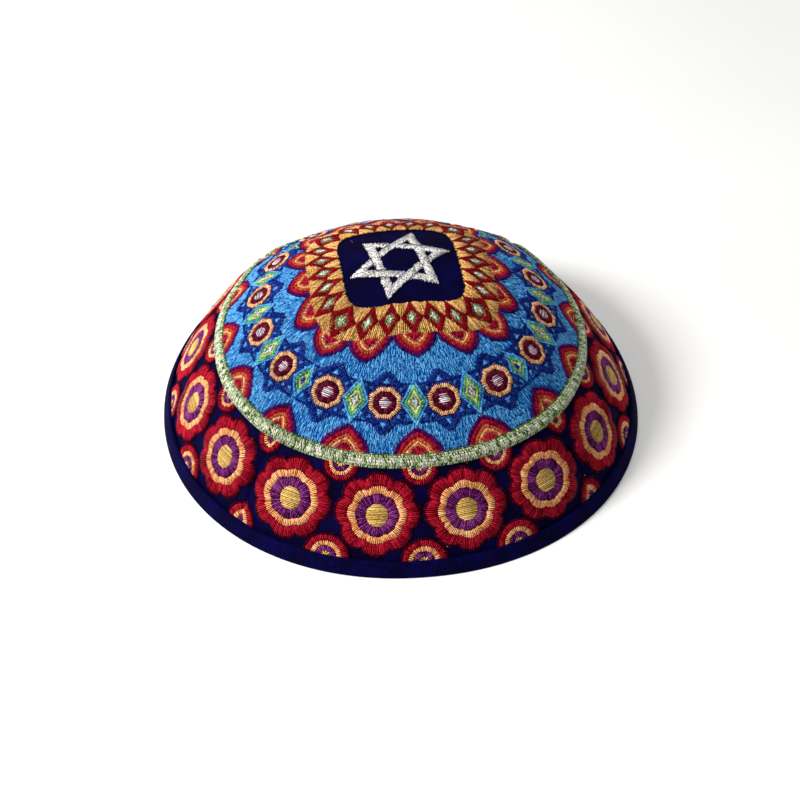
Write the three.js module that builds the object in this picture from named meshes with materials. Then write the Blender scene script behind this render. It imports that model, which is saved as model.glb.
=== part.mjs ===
// Kippah: a low embroidered cloth cap with four darts, resting flat on its bound hem.
// Millimetres, +Z up. The origin is the centre of the hem on the surface the cap rests on.
// The cap faces -Y, and its darts run down the four diagonals.
//
// Every piece is laid out flat first, as the cloth was before it was sewn: x and y are measured
// along the cloth from the crown's centre, and z is the height above the cloth's outer face.
// One function, drape, then bends the flat piece over the dome.

import * as THREE from "three";
import { TessellateModifier } from "three/addons/modifiers/TessellateModifier.js";

// Dome: the outer face of the crown's cloth
const HEM_RADIUS = 88.9; // from the middle to the outer face at the hem, along X and Y
const CROWN_HEIGHT = 64.2; // from the surface it rests on to the top of the cloth
const WAIST_DROP = 45.7; // how far below the hem the sides would stand upright
const DOME_EXPONENT = 1.9; // 2 is an ellipse from the side, and less is more pointed
const PLAN_EXPONENT = 2.09; // 2 is a circle from above, and more is squarer

// Cloth and its darts
const CLOTH_WALL = 2;
const CLEARANCE = 0.3; // between any two pieces that lie on each other
const DART_DEPTH = 0.9;
const DART_HALF_ANGLE = THREE.MathUtils.degToRad(4.5);
const DART_SETBACK = 2; // from the border's corner to the point of the dart
const RIDGE_HEIGHT = 1.7; // how far the cloth stands out beside a dart
const RIDGE_HALF_ANGLE = THREE.MathUtils.degToRad(17);
const RIDGE_EXPONENT = 1.5; // 1 is straight-sided, and more is hollower

// Binding folded over the hem
const BINDING_WIDTH = 6.2; // up the cloth from the foot
const BINDING_THICKNESS = 1.1;

// Braided cord laid round the crown
const BRAID_WIDTH = 4.8;
const BRAID_HEIGHT = 1.6;
const OUTER_BAND = 31.8; // bare cloth between the cord and the binding

// Square border round a plain field
const FIELD_HALF_WIDTH = 21.5; // along X, and the depth is along Y
const FIELD_HALF_DEPTH = 23.4;
const BORDER_WIDTH = 13;
const BORDER_THICKNESS = 0.9;
const FIELD_EXPONENT = 5.8; // how square the field is: 2 is a circle
const BORDER_EXPONENT = 4.2; // how square the border's outer edge is
const BORDER_TURN = THREE.MathUtils.degToRad(2.5);
const BORDER_SHIFT_X = 0.4; // the square sits further back than the crown's middle
const BORDER_SHIFT_Y = 5.6;

// Six-pointed star in the field
const STAR_MARGIN = 1.4; // from the star's points to the middle of the field's sides
const STAR_BAR = 3.5;
const STAR_OPENING = 0.4; // how much wider the openings in the points are than the bars would leave
const STAR_THICKNESS = 0.9;
const STAR_TURN = THREE.MathUtils.degToRad(15);
const STAR_SETBACK = 1.4; // from the field's middle towards the front
const STAR_STRETCH = 0.08; // the cloth pulled the star longer one way and narrower across it
const STAR_STRETCH_TURN = THREE.MathUtils.degToRad(60);

// Fineness of the faces
const COLUMNS = 80; // round the cap: a multiple of 8, so that a column falls on each dart
const ROW_LENGTH = 8.6;
const BORDER_COLUMNS = 64;
const STAR_EDGE = 5;
const STAR_SPLITS = 12; // rounds of splitting, enough to bring every edge under STAR_EDGE
const ARC_STEPS = 900;

const FULL_TURN = 2 * Math.PI;
const QUARTER_TURN = Math.PI / 2;
const FULL_RISE = CROWN_HEIGHT + WAIST_DROP;
const FULL_RADIUS = HEM_RADIUS / (1 - (WAIST_DROP / FULL_RISE) ** DOME_EXPONENT) ** (1 / DOME_EXPONENT);

// Side profile of the dome at the angle t, which is 0 at the crown's centre
function profileRadius(t) {
  return FULL_RADIUS * Math.sin(t) ** (2 / DOME_EXPONENT);
}

function profileHeight(t) {
  return FULL_RISE * Math.cos(t) ** (2 / DOME_EXPONENT) - WAIST_DROP;
}

function profileNormal(t) {
  const power = 2 - 2 / DOME_EXPONENT;
  const slope = (FULL_RISE / FULL_RADIUS) * Math.tan(t) ** power;
  return new THREE.Vector2(slope, 1).normalize();
}

// Angle at which the profile passes a height
function angleAtHeight(height) {
  return Math.acos(((height + WAIST_DROP) / FULL_RISE) ** (DOME_EXPONENT / 2));
}

// Arc length along the profile at even steps of the angle, from the crown's centre to below the hem
function measureProfile() {
  const lastAngle = angleAtHeight(-WAIST_DROP / 4);
  const arcs = [0];
  for (let i = 1; i <= ARC_STEPS; i++) {
    const before = ((i - 1) / ARC_STEPS) * lastAngle;
    const after = (i / ARC_STEPS) * lastAngle;
    const dr = profileRadius(after) - profileRadius(before);
    const dz = profileHeight(after) - profileHeight(before);
    arcs.push(arcs[i - 1] + Math.hypot(dr, dz));
  }
  return { arcs, lastAngle };
}

const measured = measureProfile();

function angleAtArc(arc) {
  const { arcs, lastAngle } = measured;
  let low = 0;
  let high = ARC_STEPS;
  while (high - low > 1) {
    const middle = (low + high) >> 1;
    if (arcs[middle] > arc) high = middle;
    else low = middle;
  }
  const share = (arc - arcs[low]) / (arcs[high] - arcs[low]);
  return ((low + share) / ARC_STEPS) * lastAngle;
}

// Radius and height of the point that lies lift above the cloth at an arc length
function sidePoint(arc, lift) {
  const t = angleAtArc(arc);
  const normal = profileNormal(t);
  return new THREE.Vector2(profileRadius(t), profileHeight(t)).addScaledVector(normal, lift);
}

// Arc length at which a layer that lies lift above the cloth comes down to a height
function arcAtHeight(height, lift) {
  let low = 0;
  let high = measured.arcs[ARC_STEPS];
  while (high - low > 1e-7) {
    const middle = (low + high) / 2;
    if (sidePoint(middle, lift).y > height) low = middle;
    else high = middle;
  }
  return low;
}

// Places along the cloth, measured from the crown's centre
const innerBindingLift = -(CLOTH_WALL + CLEARANCE);
const hemArc = arcAtHeight(BINDING_THICKNESS, innerBindingLift) - CLEARANCE;
const bindingTopArc = arcAtHeight(0, CLEARANCE + BINDING_THICKNESS) - BINDING_WIDTH;
const braidArc = bindingTopArc - OUTER_BAND - BRAID_WIDTH / 2;
const dartArcs = [0, 1, 2, 3].map((quarter) => borderArc((quarter + 0.5) * QUARTER_TURN) + DART_SETBACK);

// How much further the outline of a rounded square reaches at an angle than along X and Y
function squareness(angle, exponent) {
  const c = Math.abs(Math.cos(angle)) ** exponent;
  const s = Math.abs(Math.sin(angle)) ** exponent;
  return (c + s) ** (-1 / exponent);
}

// How far the border's outline reaches from its own centre, at a distance outside the field's edge
function borderReach(angle, across) {
  const exponent = THREE.MathUtils.lerp(FIELD_EXPONENT, BORDER_EXPONENT, across / BORDER_WIDTH);
  const c = (Math.abs(Math.cos(angle)) / (FIELD_HALF_WIDTH + across)) ** exponent;
  const s = (Math.abs(Math.sin(angle)) / (FIELD_HALF_DEPTH + across)) ** exponent;
  return (c + s) ** (-1 / exponent);
}

// Arc length from the crown's centre to the border's outer edge in a direction
function borderArc(direction) {
  let inside = 0;
  let outside = braidArc;
  while (outside - inside > 1e-7) {
    const arc = (inside + outside) / 2;
    const x = arc * Math.cos(direction) - BORDER_SHIFT_X;
    const y = arc * Math.sin(direction) - BORDER_SHIFT_Y;
    if (Math.hypot(x, y) < borderReach(Math.atan2(y, x) - BORDER_TURN, BORDER_WIDTH)) inside = arc;
    else outside = arc;
  }
  return inside;
}

// Depth of the crease that a dart leaves, less the ridge beside it: both start at its point and end
// under the binding
function dartDip(arc, angle) {
  const turn = ((angle % FULL_TURN) + FULL_TURN) % FULL_TURN;
  const dartArc = dartArcs[Math.floor(turn / QUARTER_TURN) % 4];
  if (arc <= dartArc || arc >= bindingTopArc) return 0;
  const fromDart = Math.abs((turn % QUARTER_TURN) - QUARTER_TURN / 2);
  const crease = DART_DEPTH * Math.max(0, 1 - fromDart / DART_HALF_ANGLE);
  const ridge = RIDGE_HEIGHT * Math.max(0, 1 - fromDart / RIDGE_HALF_ANGLE) ** RIDGE_EXPONENT;
  const along = Math.sin((Math.PI * (arc - dartArc)) / (bindingTopArc - dartArc));
  return (crease - ridge) * Math.sqrt(along);
}

// Bends a flat piece over the dome
function drape(geometry) {
  const position = geometry.getAttribute("position");
  for (let i = 0; i < position.count; i++) {
    const arc = Math.hypot(position.getX(i), position.getY(i));
    const angle = Math.atan2(position.getY(i), position.getX(i));
    const side = sidePoint(arc, position.getZ(i) - dartDip(arc, angle));
    const radius = side.x * squareness(angle, PLAN_EXPONENT);
    position.setXYZ(i, radius * Math.cos(angle), radius * Math.sin(angle), side.y);
  }
  geometry.computeVertexNormals();
  return geometry;
}

// Flat disc or ring turned from a section of [arc, lift] pairs, which runs anticlockwise
function flatRing(section, columns) {
  const points = section.map(([arc, lift]) => new THREE.Vector2(arc, lift));
  const geometry = new THREE.LatheGeometry(points, columns);
  return geometry.rotateX(QUARTER_TURN);
}

// Even steps from one number to another, both ends included
function steps(from, to, count) {
  return Array.from({ length: count + 1 }, (_, i) => from + ((to - from) * i) / count);
}

function clothMaterial(colour, roughness) {
  return new THREE.MeshStandardMaterial({ color: colour, roughness, metalness: 0 });
}

function piece(name, geometry, material) {
  const mesh = new THREE.Mesh(geometry, material);
  mesh.name = name;
  return mesh;
}

// Crown: one cloth, two faces and the cut edge at the hem
function makeCrown() {
  const rows = Math.round(hemArc / ROW_LENGTH);
  const inside = steps(0, hemArc, rows).map((arc) => [arc, -CLOTH_WALL]);
  const outside = steps(hemArc, 0, rows).map((arc) => [arc, 0]);
  return piece("crown", drape(flatRing([...inside, ...outside], COLUMNS)), clothMaterial(0x17124a, 0.85));
}

// Binding: a strip folded over the hem, with a level foot that the cap rests on
function makeBinding() {
  const nearLift = CLEARANCE;
  const farLift = nearLift + BINDING_THICKNESS;
  const deepLift = innerBindingLift - BINDING_THICKNESS;
  const floorArc = hemArc + CLEARANCE;
  const middleArc = (bindingTopArc + floorArc) / 2;
  const softEdge = BINDING_THICKNESS / 3;
  const section = [
    [arcAtHeight(0, deepLift), deepLift],
    [arcAtHeight(0, farLift), farLift],
    [middleArc, farLift],
    [bindingTopArc + softEdge, farLift],
    [bindingTopArc, farLift - softEdge],
    [bindingTopArc, nearLift],
    [middleArc, nearLift],
    [floorArc, nearLift],
    [floorArc, innerBindingLift],
    [middleArc, innerBindingLift],
    [bindingTopArc, innerBindingLift],
    [bindingTopArc, deepLift],
    [middleArc, deepLift],
  ];
  section.push(section[0]);
  return piece("hem_binding", drape(flatRing(section, COLUMNS)), clothMaterial(0x1a1650, 0.8));
}

// Braid: a flattened cord that lies on the cloth all the way round
function makeBraid() {
  const sides = 8;
  const section = steps(0, FULL_TURN, sides).map((turn) => [
    braidArc + (BRAID_WIDTH / 2) * Math.cos(turn),
    CLEARANCE + (BRAID_HEIGHT / 2) * (1 + Math.sin(turn)),
  ]);
  section[sides] = section[0];
  return piece("braid_ring", drape(flatRing(section, COLUMNS)), clothMaterial(0xa9b98a, 0.6));
}

// Border: a raised band in a rounded square round the field
function makeBorder() {
  const top = CLEARANCE + BORDER_THICKNESS;
  const rows = 3;
  const outward = steps(FIELD_HALF_WIDTH, FIELD_HALF_WIDTH + BORDER_WIDTH, rows);
  const underside = outward.map((arc) => [arc, CLEARANCE]);
  const face = outward.toReversed().map((arc) => [arc, top]);
  const section = [...underside, ...face, underside[0]];
  const geometry = flatRing(section, BORDER_COLUMNS);
  const position = geometry.getAttribute("position");
  for (let i = 0; i < position.count; i++) {
    const angle = Math.atan2(position.getY(i), position.getX(i));
    const across = Math.hypot(position.getX(i), position.getY(i)) - FIELD_HALF_WIDTH;
    const reach = borderReach(angle, across);
    position.setXY(i, reach * Math.cos(angle + BORDER_TURN), reach * Math.sin(angle + BORDER_TURN));
  }
  geometry.translate(BORDER_SHIFT_X, BORDER_SHIFT_Y, 0);
  return piece("lozenge_border", drape(geometry), clothMaterial(0xc8862e, 0.55));
}

// Regular outline round a centre, from its corner's radius and direction
function corners(count, radius, turn, centre = new THREE.Vector2()) {
  return steps(0, FULL_TURN, count)
    .slice(0, count)
    .map((angle) => {
      const direction = angle + turn;
      return new THREE.Vector2(Math.cos(direction), Math.sin(direction)).multiplyScalar(radius).add(centre);
    });
}

// Star: two woven triangles of one bar width, open in the middle and in each point
function makeStar() {
  const tipRadius = FIELD_HALF_WIDTH - STAR_MARGIN;
  const notchRadius = tipRadius / Math.sqrt(3);
  const sixth = Math.PI / 3;
  const tips = corners(6, tipRadius, STAR_TURN);
  const notches = corners(6, notchRadius, STAR_TURN + sixth / 2);
  const outline = tips.flatMap((tip, i) => [tip, notches[i]]);
  const shape = new THREE.Shape(outline);
  const heartRadius = (tipRadius / 2 - STAR_BAR) / Math.cos(sixth / 2);
  shape.holes.push(new THREE.Path(corners(6, heartRadius, STAR_TURN + sixth / 2)));
  const holeHeight = tipRadius / 2 - 2 * STAR_BAR;
  const holeRadius = (2 / 3) * holeHeight + STAR_OPENING;
  for (let i = 0; i < 6; i++) {
    const direction = STAR_TURN + i * sixth;
    const centre = new THREE.Vector2(Math.cos(direction), Math.sin(direction));
    centre.multiplyScalar(tipRadius / 2 + holeHeight / 3);
    shape.holes.push(new THREE.Path(corners(3, holeRadius, direction, centre)));
  }
  const coarse = new THREE.ExtrudeGeometry(shape, { depth: STAR_THICKNESS, bevelEnabled: false });
  const flat = new TessellateModifier(STAR_EDGE, STAR_SPLITS).modify(coarse);
  flat.rotateZ(-STAR_STRETCH_TURN);
  flat.scale(1 + STAR_STRETCH, 1 - STAR_STRETCH, 1);
  flat.rotateZ(STAR_STRETCH_TURN);
  flat.translate(BORDER_SHIFT_X, BORDER_SHIFT_Y - STAR_SETBACK, CLEARANCE);
  return piece("star_emblem", drape(flat), clothMaterial(0xc6c4cc, 0.4));
}

const kippah = new THREE.Group();
kippah.add(makeCrown(), makeBinding(), makeBraid(), makeBorder(), makeStar());

export default kippah;
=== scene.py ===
"""Embroidered kippah: the looks of its cloth, binding, braid and stitches, over the fixed frame.

Sizes are in millimetres until a mesh is made. Everything that is sewn is laid out flat first, as the cloth
was before its darts were closed, and drape() then bends it over the dome. A point of the flat cloth is
(x, y, lift): x and y run along the cloth from the crown's centre, and lift is the height above its face.
"""

import math

import bpy
import numpy as np
from mathutils import Matrix, Vector


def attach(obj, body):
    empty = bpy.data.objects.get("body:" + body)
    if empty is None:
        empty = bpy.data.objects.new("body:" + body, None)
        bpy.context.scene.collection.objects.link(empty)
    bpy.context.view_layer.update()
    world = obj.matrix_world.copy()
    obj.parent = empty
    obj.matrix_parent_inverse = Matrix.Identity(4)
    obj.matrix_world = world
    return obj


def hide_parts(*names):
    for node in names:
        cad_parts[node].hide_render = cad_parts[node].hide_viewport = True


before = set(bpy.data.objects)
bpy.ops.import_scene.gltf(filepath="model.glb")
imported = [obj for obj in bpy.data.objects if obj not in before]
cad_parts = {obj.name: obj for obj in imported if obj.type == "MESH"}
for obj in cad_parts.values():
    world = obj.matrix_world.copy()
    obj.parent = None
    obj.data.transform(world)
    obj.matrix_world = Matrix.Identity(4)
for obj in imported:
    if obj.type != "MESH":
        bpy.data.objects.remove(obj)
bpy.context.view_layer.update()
draw = np.random.default_rng(20)

MM = 0.001
TURN = 2 * math.pi

# Dome, cloth and darts: the sizes of the solids in the frame
HEM_RADIUS = 88.9
CROWN_HEIGHT = 64.2
WAIST_DROP = 45.7  # from the hem down to where the dome's side would stand upright
DOME_EXPONENT = 1.9
PLAN_EXPONENT = 2.09
CLOTH_WALL = 2.0
CLEARANCE = 0.3
DART_DEPTH = 0.9
DART_HALF_ANGLE = math.radians(4.5)
DART_SETBACK = 2.0
RIDGE_HEIGHT = 1.7
RIDGE_HALF_ANGLE = math.radians(17)
RIDGE_EXPONENT = 1.5
BINDING_WIDTH = 6.2
BINDING_THICKNESS = 1.1
BRAID_WIDTH = 4.8
OUTER_BAND = 31.8
FIELD_HALF_WIDTH = 21.5
FIELD_HALF_DEPTH = 23.4
BORDER_WIDTH = 13.0
FIELD_EXPONENT = 5.8
BORDER_EXPONENT = 4.2
BORDER_TURN = math.radians(2.5)
BORDER_SHIFT = np.array([0.4, 5.6])
STAR_RADIUS = FIELD_HALF_WIDTH - 1.4
STAR_BAR = 3.5
STAR_TURN = math.radians(15)
STAR_SHIFT = BORDER_SHIFT - [0, 1.4]
STAR_STRETCH = 0.08
STAR_STRETCH_TURN = math.radians(60)

# Steps along the dome's side, and the share of the drop to the waist that they run on below the hem
PROFILE_STEPS = 4000
BELOW_HEM = 0.25

# Seam of a dart, finer than the solids show it
SEAM_DEPTH = 1.1
SEAM_HALF_WIDTH = 1.9
SEAM_FADE = 8  # at each end the seam fades over one part in this many of its length
DART_TAKE_UP = 2.4  # half the width of cloth that a dart takes up at the hem
TAKE_UP_EXPONENT = 0.7

# Stitches
PITCH = 0.62  # between two threads that lie side by side
THREAD_HALF_WIDTH = 0.33
THREAD_HEIGHT = 0.36
THREAD_TIP = 0.3  # length over which a thread rises out of the cloth
OVERLAP = 0.1  # by which a filled band runs over its edges, into the bands beside it
LONG_STITCH = 3.6  # from this length a thread arches, and below it the thread is straight
SHORTEST_STITCH = 0.3
LOWEST_RISE, HIGHEST_RISE = 0.2, 0.46  # of a thread's middle over its ends
RISE_START, RISE_PER_MM = 0.14, 0.08
MOTIF_LIFT = 0.12

# Repeats of the motifs round the cap
REPEATS = 16
STEP = TURN / REPEATS


def polar(reach, turn, *more):
    """Points at a distance and in a direction, with any further coordinates."""
    return np.stack([reach * np.cos(turn), reach * np.sin(turn), *more], -1)


def running_length(points):
    """Length along a line of points, from the first one to each."""
    return np.concatenate([[0], np.cumsum(np.hypot(*np.diff(points, axis=0).T))])


def profile():
    """Radius, height and outward normal of the dome's side, at even steps of arc length."""
    rise = CROWN_HEIGHT + WAIST_DROP
    reach = HEM_RADIUS / (1 - (WAIST_DROP / rise) ** DOME_EXPONENT) ** (1 / DOME_EXPONENT)
    last = math.acos(((1 - BELOW_HEM) * WAIST_DROP / rise) ** (DOME_EXPONENT / 2))
    t = np.linspace(0, last, PROFILE_STEPS)
    radius = reach * np.sin(t) ** (2 / DOME_EXPONENT)
    height = rise * np.cos(t) ** (2 / DOME_EXPONENT) - WAIST_DROP
    slope = rise / reach * np.tan(t) ** (2 - 2 / DOME_EXPONENT)
    length = np.hypot(slope, 1)
    return running_length(np.stack([radius, height], -1)), radius, height, slope / length, 1 / length


ARC, RADIUS, HEIGHT, NORMAL_OUT, NORMAL_UP = profile()


def arc_at_height(height, lift):
    """Arc length at which a layer that lies lift above the cloth comes down to a height."""
    return float(np.interp(-height, -(HEIGHT + lift * NORMAL_UP), ARC))


hem_arc = arc_at_height(BINDING_THICKNESS, -(CLOTH_WALL + CLEARANCE)) - CLEARANCE
binding_top_arc = arc_at_height(0, CLEARANCE + BINDING_THICKNESS) - BINDING_WIDTH
braid_arc = binding_top_arc - OUTER_BAND - BRAID_WIDTH / 2


def squareness(angle, exponent):
    """How much further a rounded square reaches at an angle than along its axes."""
    c = np.abs(np.cos(angle)) ** exponent
    s = np.abs(np.sin(angle)) ** exponent
    return (c + s) ** (-1 / exponent)


def border_reach(angle, across):
    """How far the border's outline reaches from its own centre, at a distance outside the field's edge."""
    exponent = FIELD_EXPONENT + (BORDER_EXPONENT - FIELD_EXPONENT) * across / BORDER_WIDTH
    c = (np.abs(np.cos(angle)) / (FIELD_HALF_WIDTH + across)) ** exponent
    s = (np.abs(np.sin(angle)) / (FIELD_HALF_DEPTH + across)) ** exponent
    return (c + s) ** (-1 / exponent)


def border_arc(direction):
    """Arc length from the crown's centre to the border's outer edge in a direction."""
    arcs = np.linspace(0, braid_arc, PROFILE_STEPS)
    x = arcs * math.cos(direction) - BORDER_SHIFT[0]
    y = arcs * math.sin(direction) - BORDER_SHIFT[1]
    inside = np.hypot(x, y) < border_reach(np.arctan2(y, x) - BORDER_TURN, BORDER_WIDTH)
    return arcs[inside].max()


DART_ARCS = np.array([border_arc((quarter + 0.5) * math.pi / 2) + DART_SETBACK for quarter in range(4)])


def from_dart(angle):
    """Angle from the nearest dart, with its sign."""
    return np.mod(angle, math.pi / 2) - math.pi / 4


def dart_start(angle):
    """Arc length at the point of the nearest dart."""
    return DART_ARCS[(np.mod(angle, TURN) / (math.pi / 2)).astype(int) % 4]


def dart_dip(arc, angle):
    """Depth of the crease at a dart, less the ridge beside it, with the fine seam in its middle."""
    start = dart_start(angle)
    along = np.clip((arc - start) / (binding_top_arc - start), 0, 1)
    off = np.abs(from_dart(angle))
    swell = np.sqrt(np.sin(math.pi * along))
    wide = DART_DEPTH * np.clip(1 - off / DART_HALF_ANGLE, 0, 1) * swell
    ridge = RIDGE_HEIGHT * np.clip(1 - off / RIDGE_HALF_ANGLE, 0, 1) ** RIDGE_EXPONENT * swell
    fine = np.clip(1 - off * np.interp(arc, ARC, RADIUS) / SEAM_HALF_WIDTH, 0, 1)
    seam = SEAM_DEPTH * fine * np.clip(SEAM_FADE * along, 0, 1) * np.clip(SEAM_FADE * (1 - along), 0, 1)
    return wide - ridge + seam


def drape(flat):
    """Bends flat points over the dome. Returns the points and the dome's normals there."""
    arc = np.hypot(flat[..., 0], flat[..., 1])
    angle = np.arctan2(flat[..., 1], flat[..., 0])
    lift = flat[..., 2] - dart_dip(arc, angle)
    out = np.interp(arc, ARC, NORMAL_OUT)
    up = np.interp(arc, ARC, NORMAL_UP)
    radius = (np.interp(arc, ARC, RADIUS) + lift * out) * squareness(angle, PLAN_EXPONENT)
    height = np.interp(arc, ARC, HEIGHT) + lift * up
    return polar(radius, angle, height), polar(out, angle, up)


def new_mesh(name, points, face_groups, attributes=None):
    """Object from points in millimetres and arrays of faces, one for each number of corners."""
    mesh = bpy.data.meshes.new(name)
    mesh.vertices.add(len(points))
    mesh.vertices.foreach_set("co", (np.asarray(points) * MM).astype(np.float32).ravel())
    corners = np.concatenate([np.ravel(faces) for faces in face_groups]).astype(np.int32)
    sides = np.concatenate([np.full(len(faces), np.shape(faces)[1]) for faces in face_groups])
    mesh.loops.add(len(corners))
    mesh.loops.foreach_set("vertex_index", corners)
    mesh.polygons.add(len(sides))
    mesh.polygons.foreach_set("loop_start", (np.cumsum(sides) - sides).astype(np.int32))
    mesh.polygons.foreach_set("use_smooth", np.ones(len(sides), dtype=bool))
    for key, values in (attributes or {}).items():
        layer = mesh.attributes.new(key, "FLOAT_VECTOR", "POINT")
        layer.data.foreach_set("vector", np.asarray(values, dtype=np.float32).ravel())
    mesh.update()
    mesh.validate()
    obj = bpy.data.objects.new(name, mesh)
    bpy.context.scene.collection.objects.link(obj)
    return obj


def add_piece(obj, material, replaced=()):
    """Gives a piece its material, its body and the solids that it takes the place of."""
    obj.data.materials.append(material)
    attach(obj, "root")
    for node in replaced:
        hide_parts(node)


# Materials


class Shader:
    """Node material with short calls for the nodes that this script needs."""

    def __init__(self, name):
        self.material = bpy.data.materials.new(name)
        self.material.use_nodes = True
        self.tree = self.material.node_tree
        self.surface = self.tree.nodes["Principled BSDF"]

    def node(self, kind, inputs=None, **settings):
        made = self.tree.nodes.new(kind)
        for key, value in settings.items():
            setattr(made, key, value)
        for key, value in (inputs or {}).items():
            if isinstance(value, bpy.types.NodeSocket):
                self.tree.links.new(value, made.inputs[key])
            else:
                made.inputs[key].default_value = value
        return made

    def attribute(self, name):
        return self.node("ShaderNodeAttribute", attribute_name=name).outputs["Vector"]

    def split(self, vector):
        return self.node("ShaderNodeSeparateXYZ", {"Vector": vector}).outputs

    def math(self, operation, a, b=0.0):
        return self.node("ShaderNodeMath", {0: a, 1: b}, operation=operation).outputs[0]

    def plus(self, a, b):
        return self.math("ADD", a, b)

    def times(self, a, b):
        return self.math("MULTIPLY", a, b)

    def noise(self, vector, scale, detail=2.0):
        inputs = {"Vector": vector, "Scale": scale, "Detail": detail}
        return self.node("ShaderNodeTexNoise", inputs).outputs["Fac"]

    def ramp(self, factor, stops):
        made = self.node("ShaderNodeValToRGB", {"Fac": factor})
        elements = made.color_ramp.elements
        while len(elements) < len(stops):
            elements.new(1.0)
        for element, (place, colour) in zip(elements, stops):
            element.position = place
            element.color = colour
        return made.outputs["Color"]

    def span(self, factor, low, high):
        inputs = {"Value": factor, "To Min": low, "To Max": high}
        return self.node("ShaderNodeMapRange", inputs).outputs["Result"]

    def bump(self, height, strength, distance):
        inputs = {"Height": height, "Strength": strength, "Distance": distance}
        return self.node("ShaderNodeBump", inputs).outputs["Normal"]

    def gloss(self, specular, sheen, sheen_roughness, tint):
        self.feed("Specular IOR Level", specular)
        self.feed("Sheen Weight", sheen)
        self.feed("Sheen Roughness", sheen_roughness)
        self.feed("Sheen Tint", tint)

    def feed(self, socket, value):
        if isinstance(value, bpy.types.NodeSocket):
            self.tree.links.new(value, self.surface.inputs[socket])
        else:
            self.surface.inputs[socket].default_value = value


def linear(hex_colour):
    """Linear colour from a hex colour."""
    parts = [int(hex_colour[i : i + 2], 16) / 255 for i in (0, 2, 4)]
    return tuple([p / 12.92 if p <= 0.04045 else ((p + 0.055) / 1.055) ** 2.4 for p in parts] + [1.0])


RIDGE_SHARE = 0.33  # where a thread's ridge lies, as a share of the way round the thread
# Painted shade: how much darker each thread is painted at its sides and tips, where shade falls between
# threads
PAINTED_SIDE_SHADE, SOFT_PAINTED_SIDE_SHADE = 1.7, 1.2  # how much darker a thread is at its sides
THREAD_TONES = (0.16, 0.5, 0.86)  # at which the colour is the dark, the middle and the light one
TONE_BASE = 0.31
FIBRES_PER_METRE = 1700.0
TWISTS_PER_MM = 2.6


def colour_stops(tones, hex_colours):
    """Stops of a colour ramp from tones and hex colours."""
    return [(tone, linear(colour)) for tone, colour in zip(tones, hex_colours)]


def thread_material(name, dark, middle, light, roughness=0.42, metallic=0.0, speckle=1.3, edge=PAINTED_SIDE_SHADE):
    """Embroidery thread: each stitch has its own random tone, with painted shade at its sides and tips,
    where shade falls between threads, and a speckle of fibres.
    """
    s = Shader(name)
    # The attribute holds the place along the stitch in mm, round it from 0 to 1, and the stitch's own random
    # tone
    along, around, shade = s.split(s.attribute("thread"))[0:3]
    dye = s.noise(s.attribute("place"), 0.09)
    fibres = s.noise(s.node("ShaderNodeTexCoord").outputs["Object"], FIBRES_PER_METRE, 3.0)
    from_ridge = s.math("ABSOLUTE", s.math("SUBTRACT", around, RIDGE_SHARE))
    tone = s.plus(s.times(shade, 0.5), s.times(dye, 0.3))
    tone = s.plus(tone, s.times(s.math("SUBTRACT", fibres, 0.5), speckle))
    # Painted shade: the tone drops away from the ridge, towards the thread's sides and tips
    tone = s.math("SUBTRACT", s.plus(tone, TONE_BASE), s.times(from_ridge, edge))
    s.feed("Base Color", s.ramp(tone, colour_stops(THREAD_TONES, (dark, middle, light))))
    s.feed("Roughness", s.span(shade, roughness - 0.06, roughness + 0.1))
    s.feed("Metallic", metallic)
    s.gloss(specular=0.14, sheen=0.03, sheen_roughness=0.35, tint=linear(light))
    s.feed("Specular Tint", linear(light))
    turns = s.plus(s.times(along, TWISTS_PER_MM), around)
    twist = s.math("SINE", s.times(turns, TURN))
    s.feed("Normal", s.bump(twist, 0.3, 0.00005))
    return s.material


CLOTH_TONES = (0.3, 0.5, 0.72)


def cloth_shader(name, dark, middle, light, threads_per_mm=2.0, bias=0.0):
    """Plain woven cotton: crossing threads, slubs, lint and slightly uneven dye."""
    s = Shader(name)
    place = s.attribute("place")
    turned = s.node("ShaderNodeMapping", {"Vector": place, "Rotation": (0.0, 0.0, bias)}).outputs["Vector"]
    warped = s.node(
        "ShaderNodeVectorMath",
        {0: turned, 1: s.node("ShaderNodeTexNoise", {"Vector": turned, "Scale": 0.5}).outputs["Color"]},
        operation="ADD",
    ).outputs["Vector"]
    x, y = s.split(warped)[0:2]
    turn = TURN * threads_per_mm
    warp = s.math("SINE", s.times(x, turn))
    weft = s.math("SINE", s.times(y, turn))
    weave = s.times(warp, weft)
    slub = s.noise(turned, 1.6, 3.0)
    dye = s.noise(turned, 0.08, 3.0)
    lint = s.math("SUBTRACT", s.noise(turned, 2.3, 2.0), 0.5)
    tone = s.plus(s.times(slub, 0.6), s.times(dye, 0.4))
    grain = s.plus(s.times(weave, 0.07), s.times(lint, 0.8))
    lit = s.plus(tone, grain)
    s.feed("Base Color", s.ramp(lit, colour_stops(CLOTH_TONES, (dark, middle, light))))
    s.feed("Roughness", s.span(slub, 0.72, 0.9))
    s.gloss(specular=0.03, sheen=0.06, sheen_roughness=0.5, tint=linear(light))
    height = s.plus(weave, s.times(slub, 1.4))
    s.feed("Normal", s.bump(height, 0.5, 0.00008))
    return s


UNDERLAY_START = 33.0  # from the border's centre, under the border
UNDERLAY_BLUE = "0c4a90"


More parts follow.
